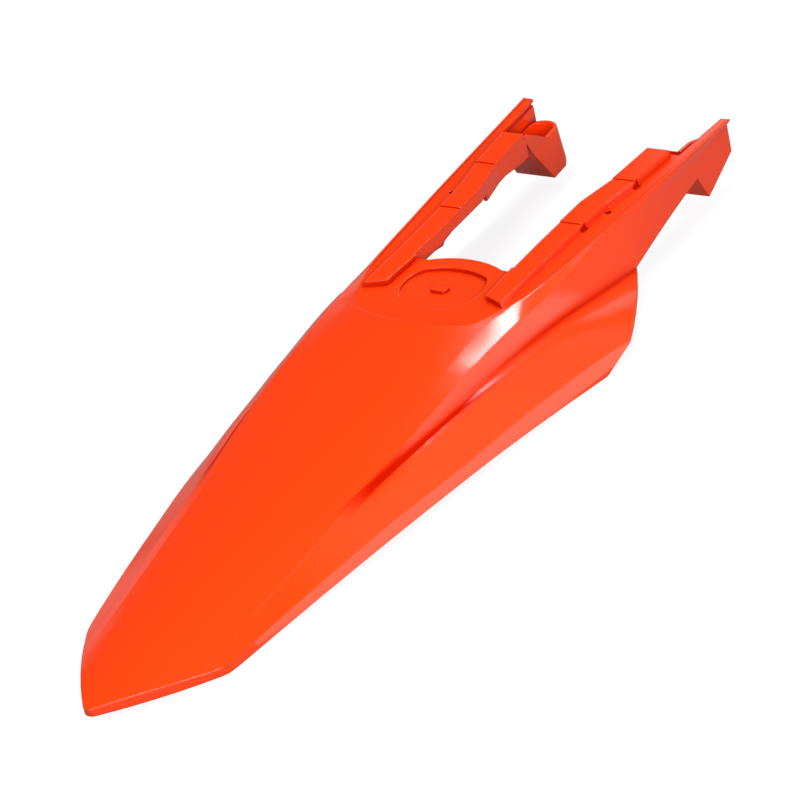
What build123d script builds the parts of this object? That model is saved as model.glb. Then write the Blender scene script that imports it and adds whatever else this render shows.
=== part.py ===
"""Rear fender of an off-road motorcycle: one injection-moulded plastic shell.

Stations run forward from the tail tip. The part's origin is at the middle of its length, on the mirror
plane, at the height of the lip corners that it rests on. X points forward, Y to the left and Z up.
Guides are knots of (station, value), joined by straight lines.
"""
from build123d import *
import os
from math import cos, radians, sin, sqrt

# Overall sizes
overall_length = 708.0
wing_span = 245.2
arm_span = 181.0
wall = 3.0

# Stations of the main features
tail_corner_station = 70.0
notch_station = 210.0
brow_station = 334.0
seat_edge_station = 378.0
seat_corner_station = 428.0
lip_end_station = 440.0
wing_tip_station = 468.0
wing_root_station = 553.0
pad_end_station = 641.0

# Tail blade
tail_corner_half = 55.2
tail_tip_angle = 43.0
tail_tip_radius = 6.0
tail_corner_radius = 40.0
tail_tip_height = 10.2
tail_lip = 5.0
notch_crown_height = 40.0
seat_crown_height = 64.0

# Shoulder edge and the wall under it
tail_shoulder_half = 40.6
tail_shoulder_height = -0.4
brow_shoulder_half = 68.6
brow_shoulder_height = 50.0
seat_shoulder_half = 75.4
seat_shoulder_height = 55.6
arm_shoulder_half = 80.5
arm_shoulder_height = 49.0
rim_tail_half = 32.7
rim_notch_half = 50.0
rim_seat_half = 57.5
rim_wing_half = 72.5
rim_root_half = 79.7
rim_turn = 20.0
rim_overhang = 4.0
rim_depth = 6.0
band_bulge = 0.4
facet_station = 114.0
facet_least = 0.4
facet_height = 2.2
facet_lean = 0.8
foot_half_guide = (354.0, 72.8), (452.0, 79.1)
foot_height_guide = (283.0, 36.0), (354.0, 39.0), (406.0, 36.4), (452.0, 32.8)

# Wings with their valleys and hanging lips
wing_root_half = 84.0
wing_root_height = 18.3
wing_front_bow = 2.2
wing_reach = 14.0
lip_tail_taper = 4.0
lip_tail_height = -6.7
lip_corner_height = 6.2
lip_rear_guide = (114.0, 10.6), (154.0, 13.1), (210.0, 16.0)
lip_middle_guide = (304.0, 16.8), (374.0, 18.5)
lip_tip_height = 14.9
lip_root_height = 5.2
lip_arch = 6.2
lip_bow = 1.2
lip_bow_end_station = 320.0
valley_width = 9.0
valley_fall = 0.35
valley_least = 3.0
valley_start_station = 264.0
valley_end_station = 452.0

# Deck inside the rim
deck_height = 58.8
deck_rise = 0.0135
seat_side_station = 391.0
seat_side_half = 48.0
seat_side_radius = 14.0
seat_corner_half = 66.0
seat_corner_radius = 50.0
rim_stand = 0.4
rim_margin = 2.0

# Raised pads, and the flanges that hang along the gap between the arms
pad_rear_station = 414.0
pad_rear_skew = 7.5
pad_joint_stations = (527.0, 593.0)
pad_heights = (3.8, 4.6, 5.4)
pad_step_run = 2.0
pad_outer_guide = (413.0, 56.5), (486.0, 57.6), (552.0, 60.6), (593.0, 67.5), (641.0, 71.5)
pad_rear_inner = 43.2
pad_narrow_inner = 41.2
pad_front_guide = (556.0, 42.6), (593.0, 50.0), (641.0, 53.6)
gap_station = 469.0
gap_side_station = 461.0
gap_corner_half = 31.0
gap_trim = 2.0
flange_end_station = 497.0
flange_bend_station = 556.0
flange_step_station = 566.0
flange_drop = 6.2
flange_drop_rear = 8.2
flange_drop_step = 11.3
flange_drop_front = 17.4

# Recess for the seat
dish_rear_station = 400.0
dish_front_station = 455.5
dish_side_station = 448.5
dish_half = 26.0
dish_depth = 2.4
dish_rim = 0.15
recess_skirt = 9.6
tab_station = 427.0
tab_length = 8.0
tab_width = 12.5
tab_radius = 2.5
tab_height = 2.2

# Pockets at the arm ends
pocket_rear_station = 644.0
pocket_foot_station = 669.6
pocket_floor = 15.5
pocket_top = 45.5
pocket_rear_wall = 3.6
pocket_lean = 9.5
pocket_setback = 1.2
pocket_brow_station = 679.0
nose_station = 692.5
strip_rear_half = 77.3
strip_front_half = 84.0
arm_foot_height = 38.0
arm_front_foot = 35.0
arm_front_rake = 2.0
arm_tip_chamfer = 2.0

# Notches and holes in the deck beside the pads
notch_length = 7.0
notch_width = 3.4
notch_depth = 1.0
hole_diameter = 5.0
hole_station = 554.0
hole_half_spacing = 66.0

# Extents of the working solids, past every face that they cut
form_floor = -70.0
form_ahead = 16.0
form_sections = 17
clear = 80.0


def guide(station, *knots):
    """Value at a station on a guide of (station, value) knots, straight between knots and past both ends."""
    for (a, low), (b, high) in zip(knots[:-1], knots[1:]):
        if station <= b or b == knots[-1][0]:
            return low + (high - low) * (station - a) / (b - a)


def x_of(station):
    """Place along X of a station."""
    return station - overall_length / 2


def at(station, half):
    """Sketch point at a station, with a half width in plan or a height in side view."""
    return (x_of(station), half)


def deck_at(station):
    """Height of the deck at a station."""
    return deck_height + deck_rise * (station - seat_edge_station)


def crown(station):
    """Height of the blade's centre line. Ahead of the seat edge it only has to stay above the deck."""
    return guide(
        station,
        (0, tail_tip_height),
        (notch_station, notch_crown_height),
        (seat_edge_station, seat_crown_height),
        (seat_corner_station, seat_crown_height),
        (wing_tip_station, deck_at(wing_tip_station) + rim_margin),
        (overall_length, deck_at(overall_length) + rim_margin),
    )


def shoulder(station):
    """Shoulder edge of the blade and then of the arm, as half width and height."""
    half = guide(
        station,
        (0, tail_shoulder_half),
        (brow_station, brow_shoulder_half),
        (seat_edge_station, (2 * brow_shoulder_half + seat_shoulder_half) / 3),
        (seat_corner_station, seat_shoulder_half),
        (wing_root_station, arm_shoulder_half),
        (overall_length, arm_span / 2 - rim_overhang),
    )
    height = guide(
        station,
        (0, tail_shoulder_height),
        (brow_station, brow_shoulder_height),
        (seat_edge_station, (brow_shoulder_height + 2 * seat_shoulder_height) / 3),
        (seat_corner_station, seat_shoulder_height),
        (wing_root_station, arm_shoulder_height),
        (overall_length, deck_at(overall_length) - rim_depth),
    )
    return half, height


def blade_at(station, half):
    """Height of the blade's round top at a half width: an arc over the crown from shoulder to shoulder."""
    side, height = shoulder(station)
    drop = crown(station) - height
    radius = (side**2 + drop**2) / (2 * drop)
    return crown(station) - radius + sqrt(radius**2 - half**2)


def rim(station):
    """Edge where the top turns into the shoulder band, as half width and height."""
    half = guide(
        station,
        (0, rim_tail_half),
        (notch_station, rim_notch_half),
        (seat_edge_station + rim_turn, rim_seat_half),
        (seat_corner_station, seat_corner_half + rim_stand),
        (wing_tip_station, rim_wing_half),
        (wing_root_station, rim_root_half),
        (overall_length, arm_span / 2),
    )
    if station > seat_edge_station + 1.5 * rim_turn:
        return half, deck_at(station) + rim_stand
    return half, blade_at(station, half)


def band_middle(station):
    """Middle of the band between rim and shoulder: on the blade's arc, or nearly flat along the arms."""
    rim_half, rim_height = rim(station)
    side, height = shoulder(station)
    middle = (rim_half + side) / 2
    if station > seat_edge_station + 1.5 * rim_turn:
        return middle + band_bulge, (rim_height + height) / 2 + band_bulge
    return middle, blade_at(station, middle)


def lip_line(station):
    """Crease between wing and lip, as half width and height."""
    half = guide(
        station,
        (0, tail_corner_half - lip_tail_taper),
        (tail_corner_station, tail_corner_half),
        (wing_tip_station, wing_span / 2),
        (overall_length, wing_span / 2 + lip_tail_taper),
    )
    bow = lip_bow * guide(
        min(max(station, tail_corner_station), lip_bow_end_station),
        (tail_corner_station, 0),
        (notch_station, 1),
        (lip_bow_end_station, 0),
    )
    height = guide(
        station,
        (0, lip_tail_height),
        (tail_corner_station, lip_corner_height),
        *lip_rear_guide,
        *lip_middle_guide,
        (wing_tip_station, lip_tip_height),
        (wing_root_station, lip_root_height),
    )
    return half + bow, height + bow


def wall_foot(station):
    """Inner corner where the side wall stands on the wing, as half width and height."""
    side, height = shoulder(min(station, notch_station))
    facet = guide(station, (0, facet_least), (facet_station, facet_least), (notch_station, facet_height))
    if station <= notch_station:
        return side + facet_lean * facet, height - facet
    half = guide(
        station,
        (notch_station, side + facet_lean * facet_height),
        *foot_half_guide,
        (wing_root_station, wing_root_half),
        (pocket_rear_station, wing_root_half - 1),
        (overall_length, arm_span / 2 - rim_overhang),
    )
    level = guide(
        station,
        (notch_station, height - facet_height),
        *foot_height_guide,
        (wing_root_station, wing_root_height),
    )
    return half, level


def half_profile(station, inset):
    """Corners of one half of the cross-section, from the rim to past the wing's edge, moved in by inset."""
    rim_y, rim_z = rim(station)
    band_y, band_z = band_middle(station)
    side_y, side_z = shoulder(station)
    foot_y, foot_z = wall_foot(station)
    lip_y, lip_z = lip_line(station)
    slope = (foot_z - lip_z) / (lip_y - foot_y)
    run = guide(
        station,
        (0, valley_least),
        (notch_station, valley_least),
        (valley_start_station, valley_width),
        (wing_root_station, valley_width),
    )
    share = guide(
        station,
        (0, 1),
        (notch_station, 1),
        (valley_start_station, valley_fall),
        (valley_end_station, valley_fall),
        (overall_length, 1),
    )
    valley_y, valley_z = foot_y + run, foot_z - run * slope * share
    fall = wing_reach * (valley_z - lip_z) / (lip_y - valley_y)
    return (
        (rim_y - inset, rim_z - inset),
        (band_y - inset, band_z - inset),
        (side_y - inset, side_z - inset / 2),
        (foot_y - inset, foot_z - inset),
        (valley_y - inset / 2, valley_z - inset),
        (lip_y, lip_z - inset),
        (lip_y + wing_reach, lip_z - inset - fall),
    )


def cross_section(station, inset=0.0):
    """Closed section of the outer form at a station, or of the hollow inside it when inset by the wall."""
    with BuildSketch(Plane.YZ.offset(x_of(station))) as section:
        with BuildLine():
            left = half_profile(station, inset)
            right = [(-y, z) for y, z in left]
            ThreePointArc(right[0], (0, crown(station) - inset), left[0])
            for corner, band, side, foot, valley, lip, edge in (left, right):
                Spline(corner, band, side)
                Line(side, foot)
                Spline(foot, valley, lip, edge)
                Line(edge, (edge[0], form_floor))
            Line((right[-1][0], form_floor), (left[-1][0], form_floor))
        make_face()
    return section.sketch


def form_stations():
    """Evenly spaced stations of the lofted form, from behind the tail to ahead of the arms."""
    pitch = (overall_length + 2 * form_ahead) / (form_sections - 1)
    return [index * pitch - form_ahead for index in range(form_sections)]


def tail_outline():
    """Plan outline of blade and wings, run on forward as a plain strip under the arms."""
    lean, turn = cos(radians(tail_tip_angle)), sin(radians(tail_tip_angle))
    tip_end = at(tail_tip_radius * (1 - turn), tail_tip_radius * lean)
    corner = at(tail_corner_station, tail_corner_half)
    wing_tip = Vector(*at(wing_tip_station, wing_span / 2))
    bow_middle = at(notch_station, lip_line(notch_station)[0])
    bow_end = at(lip_bow_end_station, lip_line(lip_bow_end_station)[0])
    wing_root = Vector(*at(wing_root_station, wing_root_half))
    edge = wing_root - wing_tip
    bow = Vector(-edge.Y, edge.X).normalized() * wing_front_bow
    front = overall_length + 2 * form_ahead
    with BuildSketch() as outline:
        with BuildLine():
            CenterArc(at(tail_tip_radius, 0), tail_tip_radius, 90 + tail_tip_angle, 90 - tail_tip_angle)
            TangentArc(tip_end, corner, tangent=(lean, turn))
            ThreePointArc(corner, bow_middle, bow_end)
            Line(bow_end, wing_tip)
            ThreePointArc(wing_tip, (wing_tip + wing_root) * 0.5 + bow, wing_root)
            Polyline(wing_root, at(front, wing_root_half), at(front, 0))
            mirror(about=Plane.XZ)
        make_face()
        corners = outline.vertices().filter_by(lambda v: abs(abs(v.Y) - tail_corner_half) < 0.01)
        fillet(corners, tail_corner_radius)
    return outline.sketch


def arm_outline():
    """Plan outline that holds both arms, from the wing roots to past their front ends."""
    length = overall_length + form_ahead - wing_root_station
    with BuildSketch() as outline:
        with Locations(at(wing_root_station + length / 2, 0)):
            Rectangle(length, 1.2 * arm_span)
    return outline.sketch


def seat_outline():
    """Outline of the seat's bed inside the rim, in the deck plane, run on past the arm ends."""
    corner = (seat_side_station - seat_edge_station, seat_side_half)
    bend = (seat_corner_station - seat_edge_station, seat_corner_half)
    front = overall_length + form_ahead
    with BuildSketch() as outline:
        with BuildLine():
            Polyline(
                corner,
                bend,
                (wing_tip_station - seat_edge_station, rim(wing_tip_station)[0] - rim_margin),
                (wing_root_station - seat_edge_station, rim(wing_root_station)[0] - rim_margin),
                (front - seat_edge_station, rim(front)[0] - rim_margin),
                (front - seat_edge_station, 0),
            )
            mirror(about=Plane.XZ)
            ThreePointArc((corner[0], -corner[1]), (0, 0), corner)
        make_face()
        sides = outline.vertices().filter_by(lambda v: abs(abs(v.Y) - seat_side_half) < 0.01)
        fillet(sides, seat_side_radius)
        corners = outline.vertices().filter_by(lambda v: abs(abs(v.Y) - seat_corner_half) < 0.01)
        fillet(corners, seat_corner_radius)
    return outline.sketch


def pad_outer(station):
    """Half width of the pads' outer top edge."""
    return guide(station, *pad_outer_guide)


def pad_inner(station):
    """Half width of the pads' inner side, which is also the side of the gap between the arms."""
    return guide(
        station,
        (pad_rear_station, pad_rear_inner),
        (gap_side_station, pad_narrow_inner),
        (flange_end_station, pad_narrow_inner),
        *pad_front_guide,
    )


def pad_section(station, height, inset=0.0):
    """Section of a pad at a station, or of the core under it when inset by the wall."""
    foot = deck_at(station) - (2 * wall if inset else wall / 2)
    top = deck_at(station) + height - inset
    inner = pad_inner(station) + (inset or -gap_trim)
    outer = pad_outer(station) - inset
    with BuildSketch(Plane.YZ.offset(x_of(station))) as section:
        with BuildLine():
            Polyline((inner, foot), (inner, top), (outer, top), (outer + pad_step_run, foot), close=True)
        make_face()
    return section.sketch


def flange_section(station, drop):
    """Section of the flange that hangs from the pads' inner side."""
    with BuildSketch(Plane.YZ.offset(x_of(station))) as section:
        with BuildLine():
            inner, outer = pad_inner(station) - gap_trim, pad_inner(station) + wall
            top, foot = deck_at(station), deck_at(station) - drop
            Polyline((inner, foot), (inner, top), (outer, top), (outer, foot), close=True)
        make_face()
    return section.sketch


def pocket_rear(height):
    """Station of the pockets' slanted rear wall at a height."""
    return guide(height, (pocket_floor, pocket_foot_station), (deck_at(pad_end_station), pad_end_station))


def leg_outline(height, lean=0.0, inset=0.0):
    """Plan outline of the left leg at a height: inner wall, half-round nose and a side in the arm's wall."""
    rear, nose = pad_end_station - wall, nose_station - lean / 2
    inner_rear = Vector(*at(rear, pad_inner(rear) - lean))
    nose_start = Vector(*at(nose, pad_inner(nose_station) - lean))
    along = (nose_start - inner_rear).normalized()
    width = shoulder(nose)[0] - wall / 2 - pad_inner(nose_station) + lean
    nose_end = nose_start + Vector(-along.Y, along.X) * width
    with BuildSketch(Plane.XY.offset(height)) as outline:
        with BuildLine():
            Line(inner_rear, nose_start)
            TangentArc(nose_start, nose_end, tangent=along)
            Polyline(nose_end, at(rear, shoulder(rear)[0] - wall / 2), inner_rear)
        make_face()
        if inset:
            offset(amount=-inset)
    return outline.sketch


deck_plane = Plane(
    origin=(x_of(seat_edge_station), 0, deck_height),
    x_dir=(1, 0, deck_rise),
    z_dir=(-deck_rise, 0, 1),
)
dish_fall = dish_depth / (dish_front_station - dish_rear_station)
dish_plane = Plane(
    origin=(x_of(dish_rear_station), 0, deck_at(dish_rear_station) - dish_rim),
    x_dir=(1, 0, deck_rise - dish_fall),
    z_dir=(dish_fall - deck_rise, 0, 1),
)
leg_corner = Vector(x_of(pocket_foot_station), wing_root_half, pocket_floor + pocket_setback)
leg_front = Vector(x_of(overall_length), wing_root_half, arm_front_foot + pocket_setback) - leg_corner
leg_inner = Vector(x_of(nose_station), pad_inner(nose_station) - pocket_lean, pocket_floor) - leg_corner
leg_plane = Plane(origin=leg_corner, x_dir=leg_front, z_dir=leg_inner.cross(leg_front))

# Outer form, and the hollow under it
with BuildPart() as outer_form:
    loft([cross_section(station) for station in form_stations()])

with BuildPart() as hollow:
    loft([cross_section(station, wall) for station in form_stations()])
    with BuildSketch(Plane.XY.offset(form_floor)):
        add(tail_outline())
        offset(amount=-wall)
        add(arm_outline())
    extrude(amount=2 * clear, mode=Mode.INTERSECT)
    with BuildSketch(deck_plane.offset(-wall)):
        add(seat_outline())
        offset(amount=wall)
    extrude(amount=clear, mode=Mode.SUBTRACT)

# Pads and the flanges along the gap, both run into the gap to be trimmed with it
joints = (pad_rear_station, *pad_joint_stations, pad_end_station)
pad_spans = list(zip(joints[:-1], joints[1:], pad_heights))
flange_turn = pad_joint_stations[1] + 4 * wall

with BuildPart() as pads:
    for rear, front, height in pad_spans:
        loft([pad_section(station, height) for station in (rear, (rear + front) / 2, front)], ruled=True)
    with BuildSketch():
        with BuildLine():
            skew = pad_rear_station + pad_rear_skew
            reach = pad_outer(pad_rear_station) + 2 * pad_step_run
            heel, toe = at(pad_rear_station, reach), at(skew, pad_inner(skew))
            Polyline(heel, toe, at(skew, 0), at(pad_rear_station, 0), close=True)
        make_face()
    extrude(amount=clear, mode=Mode.SUBTRACT)
    loft(
        [
            flange_section(gap_side_station, flange_drop_rear),
            flange_section(flange_end_station, flange_drop_rear),
            flange_section(flange_end_station + 4 * wall, flange_drop),
            flange_section(flange_bend_station, flange_drop),
            flange_section(flange_step_station, flange_drop),
        ],
        ruled=True,
    )
    loft(
        [
            flange_section(flange_step_station, flange_drop_step),
            flange_section(flange_turn, flange_drop_step),
            flange_section(pocket_rear_station, flange_drop_front),
        ],
        ruled=True,
    )
    mirror(about=Plane.XZ)

with BuildPart() as pad_cores:
    for rear, front, height in pad_spans:
        stations = (rear + wall, (rear + front) / 2, front - wall / 2)
        loft([pad_section(station, height, wall) for station in stations], ruled=True)
    with BuildSketch():
        with Locations(at(pad_rear_station, 0)):
            Rectangle(2 * (pad_rear_skew + wall), wing_span)
    extrude(amount=clear, mode=Mode.SUBTRACT)
    mirror(about=Plane.XZ)

# Legs at the arm ends: drawn in plan and in side view, and hollowed into pockets that open upwards
with BuildPart() as pockets:
    add(leg_outline(pocket_top, inset=wall))
    extrude(amount=clear)
    loft([leg_outline(pocket_top, inset=wall), leg_outline(0, pocket_lean, wall)])
    with BuildSketch(Plane.XZ):
        with BuildLine():
            Polyline(
                at(pocket_rear(clear) + pocket_rear_wall, clear),
                at(pocket_rear(pocket_floor + wall) + pocket_rear_wall, pocket_floor + wall),
                at(overall_length, pocket_floor + wall),
                at(overall_length, clear),
                close=True,
            )
        make_face()
    extrude(amount=arm_span, both=True, mode=Mode.INTERSECT)
    split(bisect_by=leg_plane.offset(wall), keep=Keep.TOP)

with BuildPart() as legs:
    add(leg_outline(pocket_top))
    extrude(amount=clear)
    loft([leg_outline(pocket_top), leg_outline(0, pocket_lean)])
    with BuildSketch(Plane.XZ):
        with BuildLine():
            top = deck_at(pad_end_station)
            Polyline(
                at(pad_end_station, top),
                at(pocket_rear_station + 2 * wall, top),
                at(pocket_brow_station, pocket_top),
                at(overall_length, pocket_top),
                at(overall_length, pocket_floor),
                at(pocket_foot_station, pocket_floor),
                close=True,
            )
        make_face()
    extrude(amount=arm_span, both=True, mode=Mode.INTERSECT)
    split(bisect_by=leg_plane, keep=Keep.TOP)
    add(pockets.part, mode=Mode.SUBTRACT)
    mirror(about=Plane.XZ)

# Moulding
with BuildPart() as fender:
    add(outer_form.part)
    with BuildSketch():
        add(tail_outline())
        add(arm_outline())
        Rectangle(overall_length, 2 * wing_span, mode=Mode.INTERSECT)
    extrude(amount=2 * clear, mode=Mode.INTERSECT)
    add(hollow.part, mode=Mode.SUBTRACT)
    # Bed for the seat
    with BuildSketch(deck_plane):
        add(seat_outline())
    extrude(amount=clear, mode=Mode.SUBTRACT)
    # Lower edges in side view: straight tail, arched lips, wing fronts, arms and legs
    tail_foot = tail_tip_height - tail_lip
    with BuildSketch(Plane.XZ):
        with BuildLine():
            ThreePointArc(
                at(tail_corner_station, 0),
                at((tail_corner_station + lip_end_station) / 2, lip_arch),
                at(lip_end_station, 0),
            )
            Polyline(
                at(lip_end_station, 0),
                at(wing_tip_station, lip_line(wing_tip_station)[1] - wall),
                at(wing_root_station - wall, wing_root_height - wall),
                at(wing_root_station, wing_root_height),
                at(pocket_rear(arm_foot_height), arm_foot_height),
                at(pocket_foot_station, pocket_floor),
                at(overall_length, arm_front_foot),
                at(overall_length - arm_front_rake, deck_at(overall_length) - arm_tip_chamfer),
                at(overall_length - arm_front_rake - arm_tip_chamfer, deck_at(overall_length) + rim_margin),
                at(overall_length - arm_front_rake - arm_tip_chamfer, clear),
                at(overall_length + form_ahead, clear),
                at(overall_length + form_ahead, form_floor),
                at(-form_ahead, form_floor),
                at(-form_ahead, tail_foot + tail_foot * form_ahead / tail_corner_station),
                at(tail_corner_station, 0),
            )
        make_face()
    extrude(amount=wing_span, both=True, mode=Mode.SUBTRACT)
    # Pads, flanges and the skirt at the front of the recess
    add(pads.part)
    add(pad_cores.part, mode=Mode.SUBTRACT)
    with BuildSketch(Plane.XY.offset(deck_at(gap_station) - recess_skirt)):
        with BuildLine():
            half = pad_inner(gap_side_station) + wall
            rear = gap_side_station - wall
            ThreePointArc(at(rear, -half), at(gap_station - wall, 0), at(rear, half))
            front = gap_station + wall
            Polyline(at(rear, half), at(front, half), at(front, -half), at(rear, -half))
        make_face()
    extrude(amount=recess_skirt - wall / 2)
    # Gap between the arms
    with BuildSketch(Plane.XY.offset(pocket_top)):
        with BuildLine():
            ThreePointArc(
                at(gap_side_station, -gap_corner_half),
                at(gap_station, 0),
                at(gap_side_station, gap_corner_half),
            )
            for side in (1, -1):
                Polyline(
                    at(gap_side_station, side * gap_corner_half),
                    at(gap_side_station, side * pad_inner(gap_side_station)),
                    at(flange_end_station, side * pad_inner(flange_end_station)),
                    at(flange_bend_station, side * pad_inner(flange_bend_station)),
                    at(pad_joint_stations[1], side * pad_inner(pad_joint_stations[1])),
                    at(pocket_rear_station, side * pad_inner(pocket_rear_station)),
                    at(pocket_rear_station, side * strip_rear_half),
                    at(overall_length + form_ahead, side * strip_front_half),
                    at(overall_length + form_ahead, 0),
                )
        make_face()
    extrude(amount=clear, mode=Mode.SUBTRACT)
    # Dish with a tab in the seat recess
    with BuildSketch(dish_plane):
        with BuildLine():
            side = dish_side_station - dish_rear_station
            front = dish_front_station - dish_rear_station
            ThreePointArc((side, -dish_half), (front, 0), (side, dish_half))
            ThreePointArc((side, -dish_half), (0, 0), (side, dish_half))
        make_face()
    extrude(amount=clear, mode=Mode.SUBTRACT)
    with BuildSketch(dish_plane):
        with Locations((tab_station - dish_rear_station, 0)):
            RectangleRounded(tab_length, tab_width, tab_radius)
    extrude(amount=tab_height)
    # Notches at the pad joints and holes in the deck strips
    with BuildSketch(deck_plane.offset(-notch_depth)):
        for station in pad_joint_stations:
            for side in (1, -1):
                with Locations((station - seat_edge_station, side * (pad_outer(station) + pad_step_run))):
                    Rectangle(notch_length, notch_width)
    extrude(amount=clear, mode=Mode.SUBTRACT)
    with BuildSketch():
        with Locations(at(hole_station, hole_half_spacing), at(hole_station, -hole_half_spacing)):
            Circle(hole_diameter / 2)
    extrude(amount=2 * clear, mode=Mode.SUBTRACT)
    # Legs
    add(legs.part)

os.makedirs("parts", exist_ok=True)
fender.part.label = "rear_fender"
export_step(fender.part, "parts/rear_fender.step")
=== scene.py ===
"""Studio picture of a moulded motorcycle rear fender on a pale floor."""

import logging
from dataclasses import dataclass, field
from enum import Enum
from typing import Any

import bpy
from mathutils import Matrix, Vector

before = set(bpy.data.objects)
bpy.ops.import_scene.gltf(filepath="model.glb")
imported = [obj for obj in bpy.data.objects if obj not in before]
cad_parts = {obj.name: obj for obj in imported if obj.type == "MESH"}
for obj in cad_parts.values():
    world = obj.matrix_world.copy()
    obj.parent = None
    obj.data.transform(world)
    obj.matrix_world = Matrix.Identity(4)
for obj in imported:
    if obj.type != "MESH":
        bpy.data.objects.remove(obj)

LOG = logging.getLogger("fender")

Triple = tuple[float, float, float]

OPAQUE = 1.0
WHITE = (1.0, 1.0, 1.0, OPAQUE)
NOISE_MEAN = 0.5

# Socket numbers of the nodes on which several sockets share a name.
MIX_FACTOR = 0
MIX_FIRST = 6
MIX_SECOND = 7
MIX_RESULT = 2
BLEND_FACTOR = 0
BLEND_FIRST = 1
BLEND_SECOND = 2
SUM_FIRST = 0
SUM_SECOND = 1


class Piece(Enum):
    """Pieces of the part, by the names of their CAD nodes."""

    FENDER = "rear_fender"


class Value:
    """A shader socket that takes part in Python arithmetic."""

    def __init__(self, graph: "Graph", socket: bpy.types.NodeSocket) -> None:
        """Wrap a socket.

        Args:
            graph: The graph that the socket's node is in.
            socket: An output socket.
        """
        self.graph = graph
        self.socket = socket

    def _math(self, operation: str, *terms: Any) -> "Value":
        """Add a Math node.

        Args:
            operation: The node's operation.
            terms: Values or numbers, in the order of its inputs.

        Returns:
            The node's result.
        """
        return self.graph.node("ShaderNodeMath", {"operation": operation}, dict(enumerate(terms)))

    def __add__(self, other: Any) -> "Value":
        """Sum of this value and another."""
        return self._math("ADD", self, other)

    __radd__ = __add__

    def __sub__(self, other: Any) -> "Value":
        """This value less another."""
        return self._math("SUBTRACT", self, other)

    def __rsub__(self, other: Any) -> "Value":
        """Another value less this one."""
        return self._math("SUBTRACT", other, self)

    def __mul__(self, other: Any) -> "Value":
        """Product of this value and another."""
        return self._math("MULTIPLY", self, other)

    __rmul__ = __mul__

    def __abs__(self) -> "Value":
        """Size of this value without its sign."""
        return self._math("ABSOLUTE", self)

    def maximum(self, other: Any) -> "Value":
        """The greater of this value and another."""
        return self._math("MAXIMUM", self, other)


class Graph:
    """Node tree of a material or of the world."""

    def __init__(self, tree: bpy.types.NodeTree) -> None:
        """Start with an empty tree.

        Args:
            tree: The tree to fill.
        """
        self.tree = tree
        self.tree.nodes.clear()

    def node(self, kind: str, settings: dict[str, Any], inputs: dict[Any, Any], output: Any = 0) -> Value:
        """Add a node.

        Args:
            kind: The node's type.
            settings: Properties that are set first.
            inputs: Socket names or numbers, with values or links.
            output: Name or number of the output to return.

        Returns:
            The chosen output.
        """
        made = self.tree.nodes.new(kind)
        for key, value in settings.items():
            setattr(made, key, value)
        for key, value in inputs.items():
            if isinstance(value, Value):
                self.tree.links.new(value.socket, made.inputs[key])
            else:
                made.inputs[key].default_value = value
        return Value(self, made.outputs[output])

    def noise(self, place: Value, scale: float, detail: float) -> Value:
        """Clouds of a given scale and detail around a point."""
        return self.node("ShaderNodeTexNoise", {}, {"Vector": place, "Scale": scale, "Detail": detail})

    def rise(self, value: Value, start: float, end: float) -> Value:
        """Step softly from 0 to 1.

        Args:
            value: The value to follow.
            start: Where the step is 0.
            end: Where the step is 1.

        Returns:
            The height of the step.
        """
        return self.node(
            "ShaderNodeMapRange",
            {"interpolation_type": "SMOOTHSTEP"},
            {"Value": value, "From Min": start, "From Max": end},
        )

    def seen(self, mirrored: float) -> Value:
        """Tell where a background shows as white.

        Args:
            mirrored: Share of the white that shows in reflections.

        Returns:
            A value of 1 to the camera and through glass, the share in reflections and 0 elsewhere.
        """
        direct = self.node("ShaderNodeLightPath", {}, {}, "Is Camera Ray")
        glossy = self.node("ShaderNodeLightPath", {}, {}, "Is Glossy Ray")
        through = self.node("ShaderNodeLightPath", {}, {}, "Is Transmission Ray")
        return direct + through + mirrored * glossy

    def finish(self, kind: str, shader: Value) -> None:
        """Join a shader to the tree's output.

        Args:
            kind: The type of the output node.
            shader: The shader to show.
        """
        out = self.tree.nodes.new(kind)
        self.tree.links.new(shader.socket, out.inputs["Surface"])


@dataclass(frozen=True)
class PaintedGrooveShade:
    """Line of painted shade along the foot of both side walls, in the part's own coordinates.

    It lies at spread + slope * x from the middle plane, and fades out at its rear and front ends.
    """

    spread: float = 0.0787
    slope: float = 0.138
    core: float = 0.001
    reach: float = 0.0042
    rear: float = -0.12
    rear_end: float = -0.16
    front: float = -0.03
    front_end: float = 0.03

    def outside(self, graph: Graph, place: Value) -> Value:
        """Work out whether a point is off the line.

        Args:
            graph: The material's graph.
            place: The point in the part's coordinates.

        Returns:
            A value of 0 on the line and 1 away from it.
        """
        along = graph.node("ShaderNodeSeparateXYZ", {}, {"Vector": place}, "X")
        across = graph.node("ShaderNodeSeparateXYZ", {}, {"Vector": place}, "Y")
        gap = abs(abs(across) - (self.slope * along + self.spread))
        beside = graph.rise(gap, self.core, self.reach)
        behind = graph.rise(along, self.rear, self.rear_end)
        ahead = graph.rise(along, self.front, self.front_end)
        return beside.maximum(behind).maximum(ahead)


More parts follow.
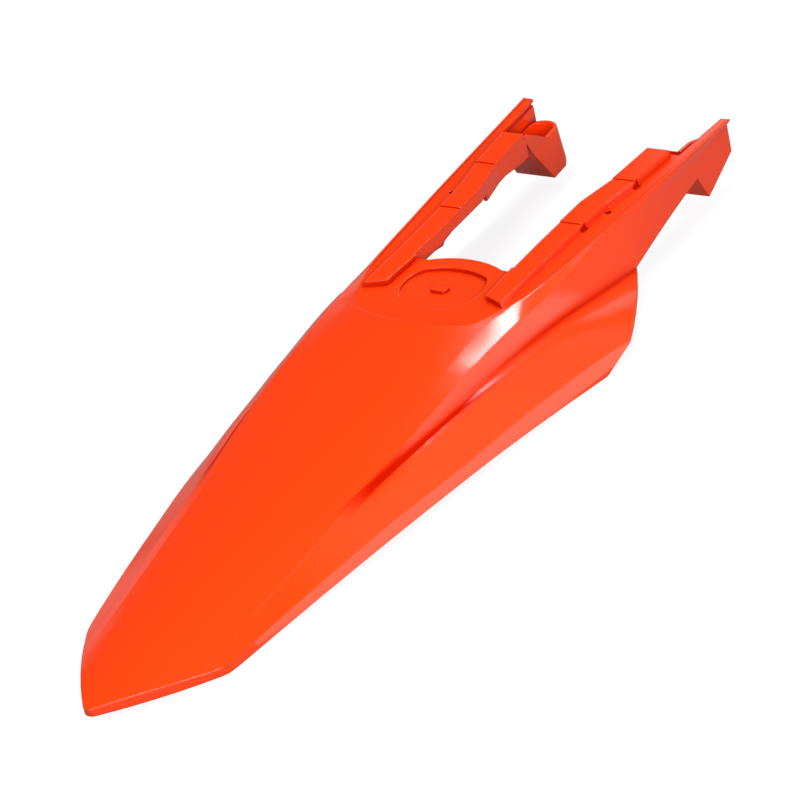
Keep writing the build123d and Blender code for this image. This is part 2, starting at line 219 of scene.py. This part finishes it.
@dataclass(frozen=True)
class GlossPlastic:
    """Coloured gloss plastic as it comes from a polished mould, with faint flow clouds and fine grain.

    Shade is painted in: tight corners and the groove line get a dark matt colour in place of the gloss.
    """

    name: str
    colour: Triple
    flow_colour: Triple
    # Colour of the painted shade in tight corners and along the groove line.
    painted_shade_colour: Triple
    roughness: float
    refraction: float = 1.49
    flow_scale: float = 7.0
    flow_detail: float = 3.0
    flow_swing: float = 0.06
    grain_scale: float = 700.0
    grain_detail: float = 2.0
    grain_swing: float = 0.04
    grain_depth: float = 0.0002
    grain_strength: float = 0.1
    edge_radius: float = 0.0016
    edge_samples: int = 8
    crease_reach: float = 0.012
    crease_shut: float = 0.5
    crease_open: float = 0.95
    # Painted shade along the foot of both side walls, mixed in as the dark matt colour.
    groove: PaintedGrooveShade = field(default_factory=PaintedGrooveShade)

    def openness(self, graph: Graph, place: Value) -> Value:
        """Work out how open the surface is to light.

        Args:
            graph: The material's graph.
            place: The point in the part's coordinates.

        Returns:
            A value of 0 in tight corners and on the groove, where shade is painted, and 1 on open faces.
        """
        light = graph.node(
            "ShaderNodeAmbientOcclusion",
            {"only_local": True},
            {"Distance": self.crease_reach},
            "AO",
        )
        corner = graph.node(
            "ShaderNodeMapRange",
            {},
            {"Value": light, "From Min": self.crease_shut, "From Max": self.crease_open},
        )
        return corner * self.groove.outside(graph, place)

    def relief(self, graph: Graph, grain: Value) -> Value:
        """Round the edges and raise the grain.

        Args:
            graph: The material's graph.
            grain: Height of the grain.

        Returns:
            The surface's normal.
        """
        edge = graph.node("ShaderNodeBevel", {"samples": self.edge_samples}, {"Radius": self.edge_radius})
        return graph.node(
            "ShaderNodeBump",
            {},
            {"Strength": self.grain_strength, "Distance": self.grain_depth, "Height": grain, "Normal": edge},
        )

    def build(self) -> bpy.types.Material:
        """Make the material.

        Returns:
            The finished material.
        """
        material = bpy.data.materials.new(self.name)
        material.use_nodes = True
        graph = Graph(material.node_tree)
        place = graph.node("ShaderNodeTexCoord", {}, {}, "Object")
        flow = graph.noise(place, self.flow_scale, self.flow_detail)
        grain = graph.noise(place, self.grain_scale, self.grain_detail)
        colour = graph.node(
            "ShaderNodeMix",
            {"data_type": "RGBA"},
            {
                MIX_FACTOR: flow,
                MIX_FIRST: (*self.colour, OPAQUE),
                MIX_SECOND: (*self.flow_colour, OPAQUE),
            },
            MIX_RESULT,
        )
        clouds = self.flow_swing * (flow - NOISE_MEAN)
        specks = self.grain_swing * (grain - NOISE_MEAN)
        gloss = graph.node(
            "ShaderNodeBsdfPrincipled",
            {},
            {
                "Base Color": colour,
                "Roughness": self.roughness + clouds + specks,
                "IOR": self.refraction,
                "Normal": self.relief(graph, grain),
            },
        )
        # Painted shade: a dark matt red that stands in for shade in tight corners and along the groove line.
        painted_shade = graph.node("ShaderNodeBsdfDiffuse", {}, {"Color": (*self.painted_shade_colour, OPAQUE)})
        blend = graph.node(
            "ShaderNodeMixShader",
            {},
            {BLEND_FACTOR: self.openness(graph, place), BLEND_FIRST: painted_shade, BLEND_SECOND: gloss},
        )
        graph.finish("ShaderNodeOutputMaterial", blend)
        return material


@dataclass(frozen=True)
class PaleFloor:
    """Matt floor that the camera sees as white where no shadow falls."""

    name: str
    colour: Triple
    lift: float
    mirrored: float

    def build(self) -> bpy.types.Material:
        """Make the material.

        Returns:
            The finished material.
        """
        material = bpy.data.materials.new(self.name)
        material.use_nodes = True
        graph = Graph(material.node_tree)
        matt = graph.node("ShaderNodeBsdfDiffuse", {}, {"Color": (*self.colour, OPAQUE)})
        strength = self.lift * graph.seen(self.mirrored)
        glow = graph.node("ShaderNodeEmission", {}, {"Color": WHITE, "Strength": strength})
        both = graph.node("ShaderNodeAddShader", {}, {SUM_FIRST: matt, SUM_SECOND: glow})
        graph.finish("ShaderNodeOutputMaterial", both)
        return material


@dataclass
class RearFender:
    """The moulding, which is the whole part."""

    piece: Piece = Piece.FENDER
    finish: GlossPlastic = field(
        default_factory=lambda: GlossPlastic(
            name="orange plastic",
            colour=(1.0, 0.056, 0.004),
            flow_colour=(0.96, 0.05, 0.003),
            # Dark red painted shade for tight corners and the groove line.
            painted_shade_colour=(0.5, 0.008, 0.0),
            roughness=0.16,
        )
    )

    def build(self) -> bpy.types.Object:
        """Dress the CAD solid in its finish.

        Returns:
            The dressed object.
        """
        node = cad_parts[self.piece.value]
        node.data.materials.clear()
        node.data.materials.append(self.finish.build())
        LOG.info("%s in %s", self.piece.value, self.finish.name)
        return node


@dataclass(frozen=True)
class SoftBox:
    """A rectangular lamp with an even face."""

    name: str
    place: Triple
    aim: Triple
    width: float
    height: float
    power: float

    def build(self) -> bpy.types.Object:
        """Hang the lamp.

        Returns:
            The lamp.
        """
        lamp = bpy.data.lights.new(self.name, "AREA")
        lamp.shape = "RECTANGLE"
        lamp.size, lamp.size_y = self.width, self.height
        lamp.energy = self.power
        hung = bpy.data.objects.new(self.name, lamp)
        hung.location = self.place
        hung.rotation_euler = (Vector(self.aim) - Vector(self.place)).to_track_quat("-Z", "Y").to_euler()
        hung.visible_camera = False
        bpy.context.scene.collection.objects.link(hung)
        LOG.info("lamp %s", self.name)
        return hung


@dataclass
class Studio:
    """Floor, sky and lamps."""

    floor_size: float = 40.0
    sky_strength: float = 0.04
    sky_mirrored: float = 0.02
    floor: PaleFloor = field(
        default_factory=lambda: PaleFloor(
            name="pale floor",
            colour=(0.2, 0.2, 0.2),
            lift=0.86,
            mirrored=0.15,
        )
    )
    lamps: tuple[SoftBox, ...] = (
        SoftBox("top box", (-0.9, 0.1, 2.2), (0.0, 0.0, 0.04), 1.6, 1.6, 46.0),
        SoftBox("fill box", (-1.0, -1.7, 0.8), (0.0, 0.0, 0.04), 1.2, 1.2, 38.0),
        SoftBox("key box", (1.4, 0.26, 1.75), (0.02, -0.06, 0.05), 0.32, 0.32, 9.0),
        SoftBox("strip box", (1.15, -1.6, 0.4), (0.0, -0.06, 0.04), 0.4, 0.5, 3.0),
        SoftBox("floor panel", (-0.07, -0.337, 0.0164), (-0.06, -0.277, 1.0164), 0.46, 0.48, 0.7),
        SoftBox("right box", (1.3, -1.1, 1.4), (0.0, -0.06, 0.04), 2.2, 2.2, 5.5),
        SoftBox("front box", (1.97, 0.45, 0.86), (0.12, -0.09, 0.03), 0.8, 0.55, 1.9),
        SoftBox("far box", (1.1, 1.55, 0.34), (0.0, 0.05, 0.03), 1.6, 0.5, 1.3),
    )

    def build_floor(self) -> bpy.types.Object:
        """Lay the floor.

        Returns:
            The floor.
        """
        half = self.floor_size / 2
        corners = [(-half, -half, 0), (half, -half, 0), (half, half, 0), (-half, half, 0)]
        mesh = bpy.data.meshes.new("floor")
        mesh.from_pydata(corners, [], [(0, 1, 2, 3)])
        mesh.materials.append(self.floor.build())
        laid = bpy.data.objects.new("floor", mesh)
        bpy.context.scene.collection.objects.link(laid)
        LOG.info("floor in %s", self.floor.name)
        return laid

    def build_sky(self) -> bpy.types.World:
        """Make the even light around the part, which the camera sees as white.

        Returns:
            The world.
        """
        world = bpy.data.worlds.new("studio")
        world.use_nodes = True
        graph = Graph(world.node_tree)
        seen = graph.seen(self.sky_mirrored)
        strength = self.sky_strength + (1.0 - self.sky_strength) * seen
        glow = graph.node("ShaderNodeBackground", {}, {"Color": WHITE, "Strength": strength})
        graph.finish("ShaderNodeOutputWorld", glow)
        bpy.context.scene.world = world
        return world

    def build(self) -> None:
        """Set up the floor, the sky and the lamps."""
        self.build_floor()
        self.build_sky()
        for lamp in self.lamps:
            lamp.build()


@dataclass(frozen=True)
class PhotoCamera:
    """Camera at the photograph's viewing angle."""

    place: Triple = (-1.21081, -0.95063, 0.92656)
    right: Triple = (0.523635, -0.834446, -0.171776)
    up: Triple = (0.517305, 0.151221, 0.842334)
    back: Triple = (-0.676906, -0.529936, 0.510848)
    lens: float = 117.0
    sensor: float = 36.0

    def build(self) -> bpy.types.Object:
        """Place the camera.

        Returns:
            The scene's camera.
        """
        data = bpy.data.cameras.new("camera")
        data.lens, data.sensor_width = self.lens, self.sensor
        camera = bpy.data.objects.new("camera", data)
        bpy.context.scene.collection.objects.link(camera)
        turn = Matrix((self.right, self.up, self.back)).transposed()
        camera.matrix_world = Matrix.Translation(self.place) @ turn.to_4x4()
        bpy.context.scene.camera = camera
        return camera


def main() -> None:
    """Build the picture."""
    logging.basicConfig(level=logging.INFO, format="%(name)s: %(message)s")
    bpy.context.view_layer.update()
    RearFender().build()
    Studio().build()
    PhotoCamera().build()
    bpy.context.scene.view_settings.view_transform = "Standard"


if __name__ == "__main__":
    main()
